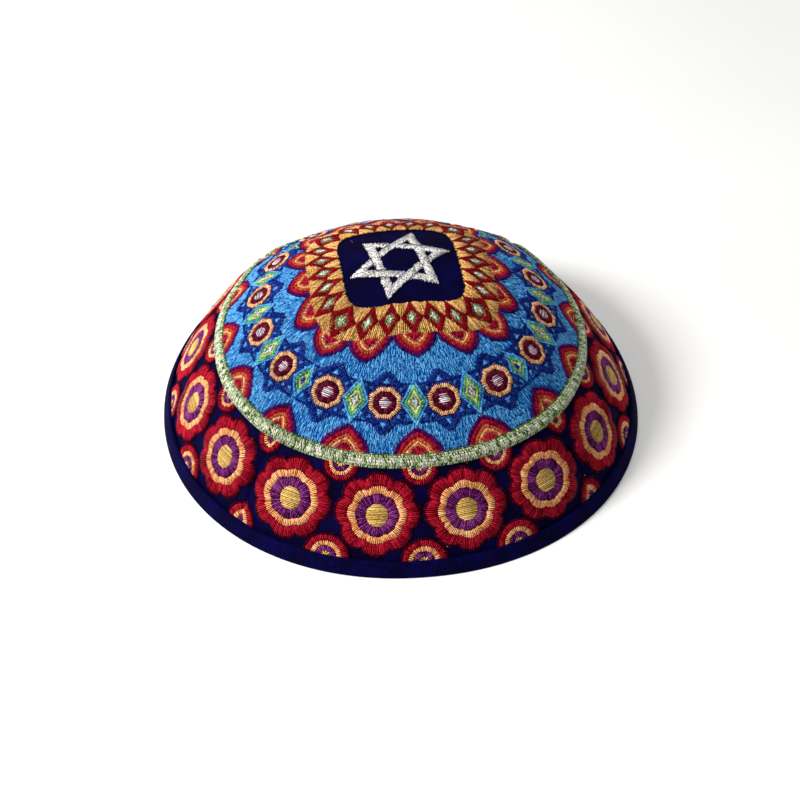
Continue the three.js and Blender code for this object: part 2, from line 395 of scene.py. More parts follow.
def crown_material():
    """Navy cotton, with the blue underlay that the ground stitches of the blue zone lie on."""
    s = cloth_shader("navy_cotton", "010008", "030120", "0e0854")
    x, y, lift = s.split(s.attribute("place"))[0:3]
    flat = s.node("ShaderNodeCombineXYZ", {"X": x, "Y": y}).outputs["Vector"]
    arc = s.node("ShaderNodeVectorMath", {0: flat}, operation="LENGTH").outputs["Value"]
    centre = (float(BORDER_SHIFT[0]), float(BORDER_SHIFT[1]), 0.0)
    off = s.node("ShaderNodeVectorMath", {0: flat, 1: centre}, operation="DISTANCE").outputs["Value"]
    outside_border = s.math("GREATER_THAN", off, UNDERLAY_START)
    zone = s.times(outside_border, s.math("LESS_THAN", arc, float(braid_arc)))
    zone = s.times(zone, s.math("GREATER_THAN", lift, -CLOTH_WALL / 2))
    cloth = s.surface.inputs["Base Color"].links[0].from_socket
    mix = s.node("ShaderNodeMix", {0: zone, 6: cloth, 7: linear(UNDERLAY_BLUE)}, data_type="RGBA")
    s.feed("Base Color", mix.outputs[2])
    return s.material


def floor_material():
    """Pale matt floor, very slightly mottled."""
    s = Shader("pale_floor")
    mottle = s.noise(s.node("ShaderNodeTexCoord").outputs["Object"], 6.0, 3.0)
    s.feed("Base Color", s.ramp(mottle, colour_stops((0.3, 0.7), ("f2f2f0", "f7f7f6"))))
    s.feed("Roughness", 0.85)
    s.feed("Specular IOR Level", 0.2)
    return s.material


# Embroidery

# Dark, middle and light colour of each thread: the tone varies at random from stitch to stitch, and painted
# shade darkens each thread's sides and tips
THREADS = {
    "crimson": ("40000e", "8a0820", "c42438"),
    "dark_red": ("14000a", "320214", "560c22"),
    "lozenge_red": ("30000a", "66040e", "94101e"),
    "orange": ("6c200e", "ac4424", "e08450"),
    "gold": ("984c20", "f09c5a", "ffdaac"),
    "pale_gold": ("8c4c20", "dca068", "fcdcb0"),
    "yellow": ("8a6426", "d0a454", "f8da96"),
    "purple": ("22002a", "540a4e", "a04894"),
    "plum": ("1c0030", "3c064a", "661c70"),
    "maroon": ("2c0010", "54061e", "86243e"),
    "lilac": ("5a2c4c", "bca0b4", "fffafc"),
    "sky": ("0c4c98", "2f82c6", "7cc2f0"),
    "royal": ("040a38", "0a1a68", "243ea0"),
    "ultramarine": ("0a1a58", "1a3884", "4474bc"),
    "green": ("145038", "34845c", "86c8a0"),
    "leaf": ("54701c", "94a84a", "d8e296"),
    "moss": ("1c1410", "3c3624", "6c7454"),
    "pale_green": ("303a24", "80906c", "f2f4e8"),
}

# Threads whose strands lie so close that they get less painted shade at their sides
SOFT_THREADS = ("crimson", "purple", "dark_red")

stitches = {}


def sew(colour, start, end, rise=None, half_width=THREAD_HALF_WIDTH):
    """Keeps one stitch for each pair of flat points. A long stitch stands higher in its middle.

    A stitch is left out where both its ends have no lift: a dart has taken up the cloth there, or a petal
    lies over it.
    """
    start = np.array(start, dtype=float)
    end = np.array(end, dtype=float)
    length = np.hypot(*(end - start)[:, :2].T)
    keep = (length > SHORTEST_STITCH) & ~(np.isnan(start[:, 2]) & np.isnan(end[:, 2]))
    start, end, length = start[keep], end[keep], length[keep]
    for ends in (start, end):
        ends[:, 2] = np.where(np.isnan(ends[:, 2]), MOTIF_LIFT, ends[:, 2])
    if rise is None:
        rise = np.clip(RISE_START + RISE_PER_MM * length, LOWEST_RISE, HIGHEST_RISE)
    rises = rise * draw.uniform(0.9, 1.12, len(start))
    widths = half_width * draw.uniform(0.88, 1.12, len(start))
    stitches.setdefault(colour, []).append((start, end, rises, widths))


def raised(flat, lift=0.0):
    """Points of the cloth at the lift of a motif, and at more where it lies over others."""
    return np.column_stack([flat, np.full(len(flat), MOTIF_LIFT + lift)])


def resample(points, count):
    """Points at even steps along a line of points."""
    along = running_length(points)
    wanted = np.linspace(0, along[-1], count)
    return np.stack([np.interp(wanted, along, points[:, i]) for i in range(points.shape[1])], -1)


def satin(colour, one_edge, other_edge, place, pitch=PITCH, ragged=0.14, overlap=OVERLAP, **looks):
    """Fills the band between two edges with threads that run straight across it, a little over both."""
    along = running_length((one_edge + other_edge) / 2)
    count = max(2, round(along[-1] / pitch))
    wanted = (np.arange(count) + 0.5 + draw.uniform(-0.1, 0.1, count)) * along[-1] / count
    ends = []
    for edge in (one_edge, other_edge):
        ends.append(np.stack([np.interp(wanted, along, edge[:, i]) for i in (0, 1)], -1))
    across = ends[1] - ends[0]
    width = np.hypot(*across.T)[:, None] + 1e-9
    ends[0] = ends[0] - across / width * (overlap + draw.uniform(-ragged, ragged, (count, 1)))
    ends[1] = ends[1] + across / width * (overlap + draw.uniform(-ragged, ragged, (count, 1)))
    sew(colour, place(ends[0]), place(ends[1]), **looks)


def at(arc, angle, pinched=False):
    """Places local points, a round the cap and b down it, at an arc length and an angle.

    On a dart the cloth that the seam takes up is missing, so a motif there closes up to the seam.
    """

    def place(local):
        a = local[:, 0]
        s = arc + local[:, 1]
        lift = np.full(len(s), MOTIF_LIFT)
        if pinched:
            start = dart_start(np.array(angle))
            gone = DART_TAKE_UP * np.clip((s - start) / (hem_arc - start), 0, 1) ** TAKE_UP_EXPONENT
            lift[np.abs(a) < gone] = np.nan
            a = np.sign(a) * np.maximum(np.abs(a) - gone, 0)
        turn = angle + a / np.maximum(np.interp(s, ARC, RADIUS), 1)
        return polar(s, turn, lift)

    return place


def local_to(flat, arc, angle):
    """The local place of flat points, seen from an arc length and an angle."""
    s = np.hypot(flat[:, 0], flat[:, 1])
    turn = np.arctan2(flat[:, 1], flat[:, 0]) - angle
    turn = (turn + math.pi) % TURN - math.pi
    return turn * np.interp(s, ARC, RADIUS), s - arc


def is_on_dart(angle):
    return abs(float(from_dart(angle))) < 1e-6


def round_edge(radius, start=0.0, end=TURN, petals=0, depth=0.0, count=145):
    """Arc of a circle, or of a rosette whose petals dip by depth between them."""
    turn = np.linspace(start, end, count)
    reach = np.full(count, float(radius))
    if petals:
        reach -= depth * (1 - np.abs(np.cos(petals * turn / 2)) ** 0.55)
    return polar(reach, turn)


def disc(colour, radius, place, **looks):
    """Solid round: threads side by side, straight across it and a little short of its two ends."""
    up = np.linspace(-0.97, 0.97, 41)
    across = np.sqrt(1 - up**2)
    left = radius * np.stack([-across, up], -1)
    right = radius * np.stack([across, up], -1)
    satin(colour, left, right, place, **looks)


def line(colour, start, end, width, place, **looks):
    """Straight satin column."""
    start, end = np.asarray(start, float), np.asarray(end, float)
    step = (end - start) / np.hypot(*(end - start))
    side = np.array([-step[1], step[0]]) * width / 2
    path = np.linspace(start, end, 25)
    satin(colour, path - side, path + side, place, **looks)


def diamond_edge(half_width, half_height, count=81):
    """Outline of a lozenge, from its right corner all the way round."""
    corners = np.array([[1, 0], [0, 1], [-1, 0], [0, -1], [1, 0]]) * [half_width, half_height]
    return resample(corners.astype(float), count)


def nested(rings, edge, place, **looks):
    """Rings of colour inside each other: each has its colour and its outer and inner share of the edge."""
    for colour, outer, inner in rings:
        satin(colour, edge * inner, edge * outer, place, **looks)


ROSETTE_ARC = binding_top_arc - OUTER_BAND / 2
ROSETTE_RADIUS, ROSETTE_DIP = 15.1, 2.3  # the dip is how far the outline draws in between two petals
GOLD_OUTSIDE, GOLD_OUTSIDE_DIP = 10.2, 1.1
GOLD_INSIDE, GOLD_INSIDE_DIP = 7.5, 0.5
YELLOW_RADIUS = 4.0
PETALS = 8
OUTLINE = 1.5  # width of the dark edge round the crimson petals
OUTLINE_SHOWING = 0.62  # share of it that the crimson leaves free


def rosettes():
    """Full rosettes in a single row on the outer band: crimson petals round gold, purple and yellow."""
    for i in range(REPEATS):
        place = at(ROSETTE_ARC, (i + 0.5) * STEP)
        petals = round_edge(ROSETTE_RADIUS, petals=PETALS, depth=ROSETTE_DIP)
        gold_out = round_edge(GOLD_OUTSIDE, petals=PETALS, depth=GOLD_OUTSIDE_DIP)
        gold_in = round_edge(GOLD_INSIDE, petals=PETALS, depth=GOLD_INSIDE_DIP)
        satin("dark_red", petals - OUTLINE * petals / ROSETTE_RADIUS, petals, place, rise=0.16)
        satin("crimson", gold_out, petals - OUTLINE_SHOWING * OUTLINE * petals / ROSETTE_RADIUS, place)
        satin("gold", gold_in, gold_out, place, rise=0.5)
        satin("purple", round_edge(YELLOW_RADIUS - OVERLAP), gold_in, place)
        disc("yellow", YELLOW_RADIUS, place, rise=0.55)


HALF_ROUND_RINGS = (
    ("dark_red", 1.0, 0.9),
    ("crimson", 0.91, 0.66),
    ("gold", 0.66, 0.44),
    ("purple", 0.44, 0.2),
    ("yellow", 0.22, 0.02),
)
# Where the middles of the half-rounds lie, their radii, and the angles at which their arcs start
HALF_ROUNDS = ((binding_top_arc + 0.6, 8.4, math.pi), (braid_arc + 2.0, 6.6, 0.0))


def half_rounds():
    """Small half-rounds that fill the gaps between the rosettes, at the braid and at the binding."""
    for i in range(REPEATS):
        angle = i * STEP
        pinched = is_on_dart(angle)
        for arc, size, start in HALF_ROUNDS:
            place = at(arc, angle, pinched)
            for colour, outer, inner in HALF_ROUND_RINGS:
                outside = round_edge(size * outer, start, start + math.pi)
                inside = round_edge(size * inner, start, start + math.pi)
                satin(colour, inside, outside, place)


def arch_share(share):
    """Height of a softly pointed arch as a share of its tip's, at a share of the way out to its foot."""
    return (1 - share**1.25) ** 0.62


def pointed_edge(half_width, height, count=121):
    """Arch that rises to a soft point, from its left foot to its right one."""
    x = np.linspace(-1, 1, 400)
    return resample(np.stack([half_width * x, -height * arch_share(np.abs(x))], -1), count)


PETAL_RINGS = (
    ("plum", 1.0, 0.84),
    ("crimson", 0.84, 0.66),
    ("orange", 0.66, 0.52),
    ("gold", 0.52, 0.42),
    ("orange", 0.42, 0.32),
    ("crimson", 0.32, 0.02),
)
PETAL_THREADS = {"pitch": 0.52, "overlap": 0.15, "ragged": 0.16}
PETAL_UNDERLAY = {"pitch": 0.9, "rise": 0.04, "half_width": 0.52}
PETAL_HEIGHT = 9.2
FAN_ARC = braid_arc - 1.9
FAN_HALF_WIDTH = 9.0
FAN_HEIGHT = 9.6


def petal(edge, place):
    """Rings of colour over wide dark stitches, which show where the threads spread."""
    satin("plum", edge * 0.02, edge * 0.92, place, **PETAL_UNDERLAY)
    nested(PETAL_RINGS, edge, place, **PETAL_THREADS)


def braid_fans():
    """Pointed fans that rise from the inner side of the braid."""
    for i in range(REPEATS):
        angle = i * STEP
        place = at(FAN_ARC, angle, is_on_dart(angle))
        petal(pointed_edge(FAN_HALF_WIDTH, FAN_HEIGHT), place)


SIDE_MARGIN, TIP_MARGIN = 0.3, 0.4  # by which what is hidden ends inside the edge of what hides it


def is_under_petal(a, b, half_width, height):
    """Whether local points lie under a pointed petal, a little inside its edge."""
    share = np.clip(np.abs(a) / (half_width - SIDE_MARGIN), 0, 1)
    return (np.abs(a) < half_width - SIDE_MARGIN) & (b > -(height - TIP_MARGIN) * arch_share(share))


def is_under_border_petal(flat):
    """Whether flat points lie under one of the petals round the border."""
    along, across = along_border(flat)
    a = np.mod(along + PETAL_STEP / 2, PETAL_STEP) - PETAL_STEP / 2
    return is_under_petal(a, PETAL_FOOT - across, PETAL_HALF_WIDTH, PETAL_HEIGHT)


def beside_petals(place):
    """Takes the lift from points that lie under the border's petals, so that no stitch is made there."""

    def placed(local):
        flat = place(local)
        flat[is_under_border_petal(flat), 2] = np.nan
        return flat

    return placed


TRELLIS_ARC = 55.8
TRELLIS_HALF_HEIGHT = 10.6
RAIL_OFFSET = 6.6
RAIL_WIDTH = 1.1
DIAMOND_LINE = 2.2
TIP_TRIANGLE = (1.9, 3.9, 1.3)  # how far under a diamond's tip it starts and ends, and half its foot
# Tip, middle of the foot and half the foot of the other small triangles in a quarter of a diamond
SIDE_TRIANGLES = (((6.2, 5.6), (4.6, 4.7), 0.9), ((8.6, 5.5), (7.6, 3.9), 0.8))
MEDALLION_RADIUS = 5.7
MEDALLION_RINGS = (("pale_gold", 1.0, 0.7), ("maroon", 0.7, 0.32))
LOZENGE_HALF_WIDTH = 4.9
LOZENGE_HALF_HEIGHT = 8.4
LOZENGE_RINGS = (("sky", 1.0, 0.8), ("green", 0.8, 0.56), ("leaf", 0.56, 0.32), ("pale_green", 0.32, 0.03))


def trellis_half_width():
    """Half the width of one diamond of the chain."""
    return STEP / 2 * float(np.interp(TRELLIS_ARC, ARC, RADIUS))


def triangle(colour, tip, foot_middle, half_foot, place):
    """Small filled triangle from its tip to the middle of its foot."""
    tip, foot = np.asarray(tip, float), np.asarray(foot_middle, float)
    step = (foot - tip) / np.hypot(*(foot - tip))
    side = np.array([-step[1], step[0]]) * half_foot
    share = np.linspace(0.1, 1, 9)[:, None]
    path = tip + (foot - tip) * share
    satin(colour, path - side * share, path + side * share, place, pitch=0.34, overlap=0.05)


def octagon_edge(radius):
    """Outline of an eight-sided medallion."""
    turn = np.linspace(0, TURN, 161)
    reach = 0.97 * radius / np.cos(np.mod(turn + math.pi / 8, math.pi / 4) - math.pi / 8)
    return polar(reach, turn)


def trellis():
    """Chain of dark diamonds round the blue zone, with an eight-sided medallion in each."""
    wide = trellis_half_width()
    tall = TRELLIS_HALF_HEIGHT
    tips = [(-wide, 0), (0, -tall), (wide, 0), (0, tall), (-wide, 0)]
    from_tip, to_foot, half_tip_foot = TIP_TRIANGLE
    for i in range(REPEATS):
        place = beside_petals(at(TRELLIS_ARC, (i + 0.5) * STEP))
        for start, end in zip(tips, tips[1:]):
            line("royal", start, end, DIAMOND_LINE, place, rise=0.34)
        for end in (-1, 1):
            rail = end * RAIL_OFFSET
            line("royal", (-wide, rail), (wide, rail), RAIL_WIDTH, place, rise=0.38)
            triangle("sky", (0, end * (tall - from_tip)), (0, end * (tall - to_foot)), half_tip_foot, place)
            for side in (-1, 1):
                mirror = np.array([side, end])
                for tip, foot, half_foot in SIDE_TRIANGLES:
                    triangle("sky", mirror * tip, mirror * foot, half_foot, place)
        edge = octagon_edge(MEDALLION_RADIUS)
        satin("plum", edge * 0.9, edge * 1.07, place, rise=0.3)
        nested(MEDALLION_RINGS, edge, place, rise=0.5)
        disc("lilac", MEDALLION_RADIUS * 0.35, place, rise=0.52, ragged=0.5)


def green_lozenges():
    """Nested green lozenges where two diamonds of the chain meet."""
    edge = diamond_edge(LOZENGE_HALF_WIDTH, LOZENGE_HALF_HEIGHT)
    for i in range(REPEATS):
        angle = i * STEP
        place = beside_petals(at(TRELLIS_ARC, angle, is_on_dart(angle)))
        nested(LOZENGE_RINGS, edge, place, rise=0.42, pitch=0.44)


def border_table():
    """Distance along the border's middle line, with its four sides evened out, against the angle."""
    middle = BORDER_WIDTH / 2
    corner = math.atan2(FIELD_HALF_DEPTH + middle, FIELD_HALF_WIDTH + middle)
    angle = np.linspace(corner, corner + TURN, 1441)
    along = running_length(polar(border_reach(angle, middle), angle))
    corners = [corner, math.pi - corner, math.pi + corner, TURN - corner, TURN + corner]
    return np.interp(along, np.interp(corners, angle, along), np.linspace(0, along[-1], 5)), angle


BORDER_ALONG, BORDER_ANGLE = border_table()
BORDER_LENGTH = float(BORDER_ALONG[-1])
GOLD_LIFT, LOZENGE_LIFT = 0.1, 0.38  # over the other motifs
BORDER_LOZENGE_RINGS = (
    ("lozenge_red", 1.06, 0.52, {"pitch": 0.5, "ragged": 0.08, "rise": 0.42}),
    ("moss", 0.54, 0.26, {"pitch": 0.4, "rise": 0.24}),
    ("pale_green", 0.34, 0.03, {"pitch": 0.36, "ragged": 0.3, "rise": 0.4}),
)
LOZENGES_PER_SIDE = 6
CORNER_LOZENGE = 1.45  # how much wider the lozenge on each corner is
BORDER_PETALS = 16
PETAL_STEP = BORDER_LENGTH / BORDER_PETALS
PETAL_HALF_WIDTH = PETAL_STEP / 2 * 1.02  # so that two petals just meet
PETAL_FOOT = BORDER_WIDTH - 0.4  # the petals start a little under the border
PETAL_LIFT = 0.25  # at the back the petals lie over the chain


def on_border(lift=0.0, offset=0.0):
    """Places local points on the border: a along its middle line and b outward from its inner edge."""

    def place(local):
        angle = np.interp(np.mod(local[:, 0] + offset, BORDER_LENGTH), BORDER_ALONG, BORDER_ANGLE)
        flat = polar(border_reach(angle, local[:, 1]), angle + BORDER_TURN) + BORDER_SHIFT
        return raised(flat, lift)

    return place


def along_border(flat):
    """The border's own coordinates of flat points: along its middle line and outward from its inner edge."""
    x, y = (flat[:, :2] - BORDER_SHIFT).T
    angle = np.arctan2(y, x) - BORDER_TURN
    inner = border_reach(angle, 0)
    outer = border_reach(angle, BORDER_WIDTH)
    across = (np.hypot(x, y) - inner) / (outer - inner) * BORDER_WIDTH
    turn = np.mod(angle - BORDER_ANGLE[0], TURN) + BORDER_ANGLE[0]
    return np.interp(turn, BORDER_ANGLE, BORDER_ALONG), across


def lozenge_places():
    """Middle along the border and half-width of each lozenge."""
    side = BORDER_LENGTH / 4
    unit = side / (LOZENGES_PER_SIDE - 1 + CORNER_LOZENGE)
    for corner in range(4):
        yield corner * side, CORNER_LOZENGE * unit / 2
        for i in range(LOZENGES_PER_SIDE - 1):
            yield corner * side + (CORNER_LOZENGE / 2 + i + 0.5) * unit, unit / 2


def lozenge_border():
    """Gold ground in two rows, and crossing crimson lines round green and silver lozenges."""
    middle = BORDER_WIDTH / 2
    whole = np.linspace(0, BORDER_LENGTH, 400)
    for low, high in ((0.0, middle), (middle, BORDER_WIDTH)):
        inner = np.stack([whole, np.full(len(whole), low)], -1)
        outer = np.stack([whole, np.full(len(whole), high)], -1)
        satin("border_gold", inner, outer, on_border(GOLD_LIFT), rise=0.5, ragged=0.3)
    shift = np.array([0.0, middle])
    for offset, half_width in lozenge_places():
        edge = diamond_edge(half_width, middle - 0.2)
        place = on_border(LOZENGE_LIFT, offset)
        for colour, outer, inner, looks in BORDER_LOZENGE_RINGS:
            satin(colour, edge * inner + shift, edge * outer + shift, place, **looks)


def border_petals():
    """Pointed petals round the outside of the border."""
    edge = pointed_edge(PETAL_HALF_WIDTH, PETAL_HEIGHT)
    for i in range(BORDER_PETALS):
        on_this_side = on_border(PETAL_LIFT, i * PETAL_STEP)

        def place(local, outward=on_this_side):
            return outward(local * [1, -1] + [0, PETAL_FOOT])

        petal(edge, place)


STAR_LIFT = 0.1  # over the other motifs
STAR_CROSSING_GAP = 0.2  # left free on each side of a bar that passes over
STAR_THREADS = {"pitch": 0.5, "ragged": 0.4, "overlap": -0.15, "rise": 0.55}


def on_field(local):
    """Places the star's points, pulled longer one way as the cloth pulled them."""
    c, s = math.cos(STAR_STRETCH_TURN), math.sin(STAR_STRETCH_TURN)
    turn = np.array([[c, -s], [s, c]])
    stretch = turn @ np.diag([1 + STAR_STRETCH, 1 - STAR_STRETCH]) @ turn.T
    return raised(local @ stretch.T + STAR_SHIFT, STAR_LIFT)


def star():
    """Silver star: two triangles, each bar passing over the first bar it meets and under the second."""
    rims = (STAR_RADIUS, STAR_RADIUS - 2 * STAR_BAR)
    slope = math.sin(math.pi / 3)
    half_crossing = STAR_BAR / 2 / slope + STAR_CROSSING_GAP
    before, after = [], []
    for rim in rims:
        crossing = (STAR_RADIUS / 2 - STAR_BAR / 2 - rim / 4) / slope
        length = rim * math.sqrt(3)
        before.append(0.5 + (crossing - half_crossing) / length)
        after.append(0.5 + (crossing + half_crossing) / length)
    for i in range(6):
        turn = STAR_TURN + i * math.pi / 3
        start = np.array([math.cos(turn), math.sin(turn)])
        end = np.array([math.cos(turn + TURN / 3), math.sin(turn + TURN / 3)])
        for first, last in (((0.0, 0.0), before), (after, (1.0, 1.0))):
            edges = []
            for rim, low, high in zip(rims, first, last):
                share = np.linspace(low, high, 61)[:, None]
                edges.append(rim * (start + (end - start) * share))
            satin("star", edges[0], edges[1], on_field, **STAR_THREADS)


MEDALLION_MARGIN = 0.6
LOZENGE_SIDE_MARGIN, LOZENGE_TIP_MARGIN = 0.4, 0.6


def covered(flat):
    """Whether the blue ground is hidden at flat points, under the border or a motif."""
    hidden = (along_border(flat)[1] < BORDER_WIDTH - SIDE_MARGIN) | is_under_border_petal(flat)
    for i in range(REPEATS):
        a, b = local_to(flat, TRELLIS_ARC, (i + 0.5) * STEP)
        hidden |= np.hypot(a, b) < MEDALLION_RADIUS - MEDALLION_MARGIN
        a, b = local_to(flat, TRELLIS_ARC, i * STEP)
        half_width = LOZENGE_HALF_WIDTH - LOZENGE_SIDE_MARGIN
        half_height = LOZENGE_HALF_HEIGHT - LOZENGE_TIP_MARGIN
        hidden |= np.abs(a) / half_width + np.abs(b) / half_height < 1
        a, b = local_to(flat, FAN_ARC, i * STEP)
        hidden |= is_under_petal(a, b, FAN_HALF_WIDTH, FAN_HEIGHT)
    return hidden


def in_chain(flat):
    """Whether flat points lie between the rails of the chain or inside one of its diamonds."""
    inside = np.abs(np.hypot(flat[:, 0], flat[:, 1]) - TRELLIS_ARC) < RAIL_OFFSET
    for i in range(REPEATS):
        a, b = local_to(flat, TRELLIS_ARC, (i + 0.5) * STEP)
        inside |= np.abs(a) / trellis_half_width() + np.abs(b) / TRELLIS_HALF_HEIGHT < 1
    return inside


GROUND_START = 22.0
GROUND_ROW = 1.7
GROUND_PITCH = 0.52
GROUND_HALF_WIDTH = 0.26
GROUND_LIFT = 0.04
GROUND_RISE = 0.16
GROUND_LEAN = 0.2
GROUND_END = braid_arc - 1.2


def blue_ground():
    """Short radial stitches in staggered rows: sky blue, and deeper blue in the chain."""
    rows = int((braid_arc - 1.5 - GROUND_START) / GROUND_ROW) + 1
    for j in range(rows):
        row_arc = GROUND_START + j * GROUND_ROW
        radius = float(np.interp(row_arc, ARC, RADIUS))
        count = int(TURN * radius / GROUND_PITCH)
        turn = (np.arange(count) + draw.uniform(-0.25, 0.25, count)) / count * TURN
        top = row_arc + draw.uniform(-0.8, 0.8, count)
        low = top + GROUND_ROW + draw.uniform(0.3, 0.9, count)
        lean = draw.normal(0, GROUND_LEAN, count) / radius
        lift = np.full(count, GROUND_LIFT)
        start = polar(top, turn, lift)
        end = polar(low, turn + lean, lift)
        middle = (start + end) / 2
        seen = ~covered(middle) & (np.hypot(*middle[:, :2].T) < GROUND_END)
        inside = in_chain(middle)
        for colour, chosen in (("sky", seen & ~inside), ("ultramarine", seen & inside)):
            sew(colour, start[chosen], end[chosen], rise=GROUND_RISE, half_width=GROUND_HALF_WIDTH)


# Painted shadow: a dark line of stitches where the braid's shade falls on the blue ground
BRAID_SHADOW_WIDTH = 0.9


def painted_braid_shadow():
    """Painted shadow of the raised braid on the blue ground: a thin dark line of short stitches along its
    inner side.
    """
    outer = braid_arc - BRAID_WIDTH / 2
    inner = outer - BRAID_SHADOW_WIDTH
    satin("royal", round_edge(inner, count=721), round_edge(outer, count=721), raised, rise=0.14)


LOOSE_FIBRES = 27  # of each colour
LOOSE_COLOURS = ("crimson", "gold", "orange", "sky")


def loose_fibres():
    """Thin ends of thread that have worked loose and stand a little off the cloth."""
    count = LOOSE_FIBRES
    for colour in LOOSE_COLOURS:
        angle = draw.uniform(0, TURN, count)
        first, last = (34, braid_arc - 4) if colour == "sky" else (26, binding_top_arc)
        arc = draw.uniform(first, last, count)
        start = polar(arc, angle, np.full(count, MOTIF_LIFT))
        end = start + draw.normal(0, 0.8, (count, 3))
        end[:, 2] = draw.uniform(0.7, 1.5, count)
        sew(colour, start, end, rise=0.3, half_width=0.09)


BRAID_BASE = 0.1  # of the padded core over the cloth
BRAID_CORE_HEIGHT = 0.95
BRAID_CORE_INSET = 0.25
BRAID_THREAD, BRAID_RISE = 0.22, 0.26
BRAID_PERIOD = 3.6
BRAID_PITCH = 0.33


def on_braid(local):
    """Places local points on the braid: a along its middle and b across it, on the padded core."""
    radius = float(np.interp(braid_arc, ARC, RADIUS))
    across = np.clip(local[:, 1] / (BRAID_WIDTH / 2), -1, 1)
    lift = BRAID_BASE + BRAID_CORE_HEIGHT * np.sqrt(1 - across**2)
    return polar(braid_arc + local[:, 1], local[:, 0] / radius, lift)


def braid_stitches():
    """Short green and silver threads that slant in from both edges and cross in the middle of the braid."""
    length = TURN * float(np.interp(braid_arc, ARC, RADIUS))
    repeats = round(length / BRAID_PERIOD)
    count = round(length / BRAID_PITCH)
    half = BRAID_WIDTH / 2
    # Where threads start and end across the braid, how far they slant, and the shares of silver and moss
    rows = (
        # The first row, all moss, is a painted shadow: a dark line along the braid's inner edge, where shade
        # falls
        (-half * 1.16, -half * 0.9, 0.6, 0.0, 1.0),
        (-half, -half * 0.52, 0.2, 0.16, 0.2),
        (half, half * 0.52, 0.2, 0.16, 0.2),
        (-half * 0.64, -half * 0.12, 0.35, 0.46, 0.24),
        (half * 0.64, half * 0.12, 0.35, 0.46, 0.24),
        (-half * 0.3, half * 0.3, 0.5, 0.7, 0.2),
    )
    for low, high, slant, silver_share, moss_share in rows:
        a = (np.arange(count) + draw.uniform(-0.3, 0.3, count)) / count * length
        start = np.stack([a, low + draw.uniform(-0.12, 0.12, count)], -1)
        slanted = a + slant + draw.uniform(-0.3, 0.3, count)
        end = np.stack([slanted, high + draw.uniform(-0.2, 0.2, count)], -1)
        cluster = 0.5 + 0.5 * np.cos(TURN * a / length * repeats)
        chance = draw.uniform(0, 1, count)
        silver = chance < silver_share * (0.35 + 0.9 * cluster)
        moss = (chance > 1 - moss_share * (1.4 - 0.8 * cluster)) & ~silver
        for colour, chosen in (("silver", silver), ("moss", moss), ("sage", ~silver & ~moss)):
            sew("braid_" + colour, on_braid(start[chosen]), on_braid(end[chosen]), BRAID_RISE, BRAID_THREAD)


def thread_solids(start, end, rises, widths, rings):
    """Closed threads with a ridge, on rings of three points, pointed where they enter the cloth.

    Returns the points, the triangles and the two attributes of each point.
    """
    count = len(start)
    length = np.hypot(*(end - start)[:, :2].T)
    tip = np.clip(THREAD_TIP / length, 0.06, 0.3)
    inner = [tip, 1 - tip] if rings == 2 else [tip, np.full(count, 0.5), 1 - tip]
    shares = np.stack([np.zeros(count), *inner, np.ones(count)], -1)
    arch = np.array([0, 1, 1, 0] if rings == 2 else [0, 0.85, 1, 0.85, 0])
    flat = start[:, None] + (end - start)[:, None] * shares[..., None]
    flat[..., 2] += rises[:, None] * arch
    centre, normal = drape(flat)
    direction = centre[:, -1] - centre[:, 0]
    side = np.cross(normal, direction[:, None])
    side *= widths[:, None, None] / np.linalg.norm(side, axis=-1, keepdims=True)
    drop = normal * 0.5 * THREAD_HEIGHT
    sections = np.stack([centre - side - drop, centre + drop, centre + side - drop], 2)[:, 1:-1]
    points = np.concatenate([sections.reshape(count, 3 * rings, 3), centre[:, [0, -1]]], 1)
    faces = []
    for ring in range(0, 3 * rings - 3, 3):
        for i in range(3):
            a, b = ring + i, ring + (i + 1) % 3
            faces += [(a, a + 3, b + 3), (a, b + 3, b)]
    first_tip = 3 * rings
    for i in range(3):
        beside = (i + 1) % 3
        faces += [(first_tip, i, beside), (first_tip + 1, first_tip - 3 + beside, first_tip - 3 + i)]
    each = first_tip + 2
    faces = np.array(faces)[None] + each * np.arange(count)[:, None, None]
    ring_share = np.concatenate([np.repeat(shares[:, 1:-1], 3, axis=1), shares[:, [0, -1]]], 1)
    around = np.array([0.0, RIDGE_SHARE, 2 * RIDGE_SHARE] * rings + [0.0, 0.0])
    shade = draw.beta(2.4, 2.4, count)[:, None]
    thread = np.stack(np.broadcast_arrays(length[:, None] * ring_share, around, shade), -1)
    place = np.repeat(((start + end) / 2)[:, None], each, axis=1)
    return points.reshape(-1, 3), faces.reshape(-1, 3), thread.reshape(-1, 3), place.reshape(-1, 3)


def stitch_piece(name, colour, material, replaced=()):
    """One piece of all the stitches of a colour: the long ones arch, and the short ones are straight."""
    start, end, rises, widths = (np.concatenate(part) for part in zip(*stitches[colour]))
    long = np.hypot(*(end - start)[:, :2].T) > LONG_STITCH
    parts = []
    for rings, chosen in ((2, ~long), (3, long)):
        if chosen.any():
            parts.append(thread_solids(start[chosen], end[chosen], rises[chosen], widths[chosen], rings))
    offsets = np.cumsum([0] + [len(part[0]) for part in parts[:-1]])
    faces = np.concatenate([part[1] + offset for part, offset in zip(parts, offsets)])
    points, thread, place = (np.concatenate([part[i] for part in parts]) for i in (0, 2, 3))
    obj = new_mesh(name, points, [faces], {"thread": thread, "place": place})
    add_piece(obj, material, replaced)


# Cloth

CROWN_ROWS, INSIDE_ROWS, CROWN_COLUMNS = 110, 50, 256
CROWN_FIRST_ROW = 0.6  # from the crown's centre
FOOT_HEIGHT = 0.03  # of the binding's foot above the floor
FACE_SWELL = 0.12  # of the binding's face in its middle
FACE_ROWS, BINDING_COLUMNS = 14, 288


